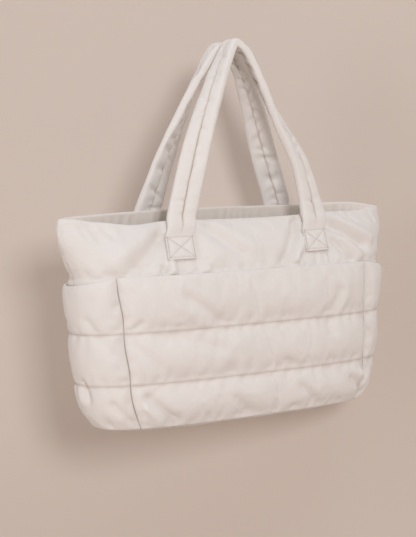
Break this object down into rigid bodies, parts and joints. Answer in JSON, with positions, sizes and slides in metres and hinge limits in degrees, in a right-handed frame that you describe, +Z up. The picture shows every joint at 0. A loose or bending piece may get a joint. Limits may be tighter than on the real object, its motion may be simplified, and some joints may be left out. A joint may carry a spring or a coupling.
{
  "type": "puffer tote bag",
  "caption": "Padded fabric tote with quilted channels, a front slip pocket, open side pockets and long padded shoulder handles, hanging by its handles.",
  "frame": {"origin": "inside of the handles' crown, where the bag hangs from one point", "axes": "+Z up, +X to the right as the front panel is seen, front panel faces -Y"},
  "size_m": [0.48, 0.159, 0.4833],
  "materials": {
    "padded_cloth": "matte woven nylon over soft padding, warm off-white",
    "facing_cloth": "thin gathered woven facing, off-white in shade",
    "strap_cloth": "matte woven nylon folded over soft padding, warm off-white"
  },
  "bodies": {
    "root": {"body_front": "padded_cloth", "body_back": "padded_cloth", "front_pocket": "padded_cloth", "side_pocket_left": "padded_cloth", "side_pocket_right": "padded_cloth", "base_panel": "padded_cloth", "mouth_facing": "facing_cloth", "handle_front": "strap_cloth", "handle_back": "strap_cloth"}
  },
  "joints": []
}
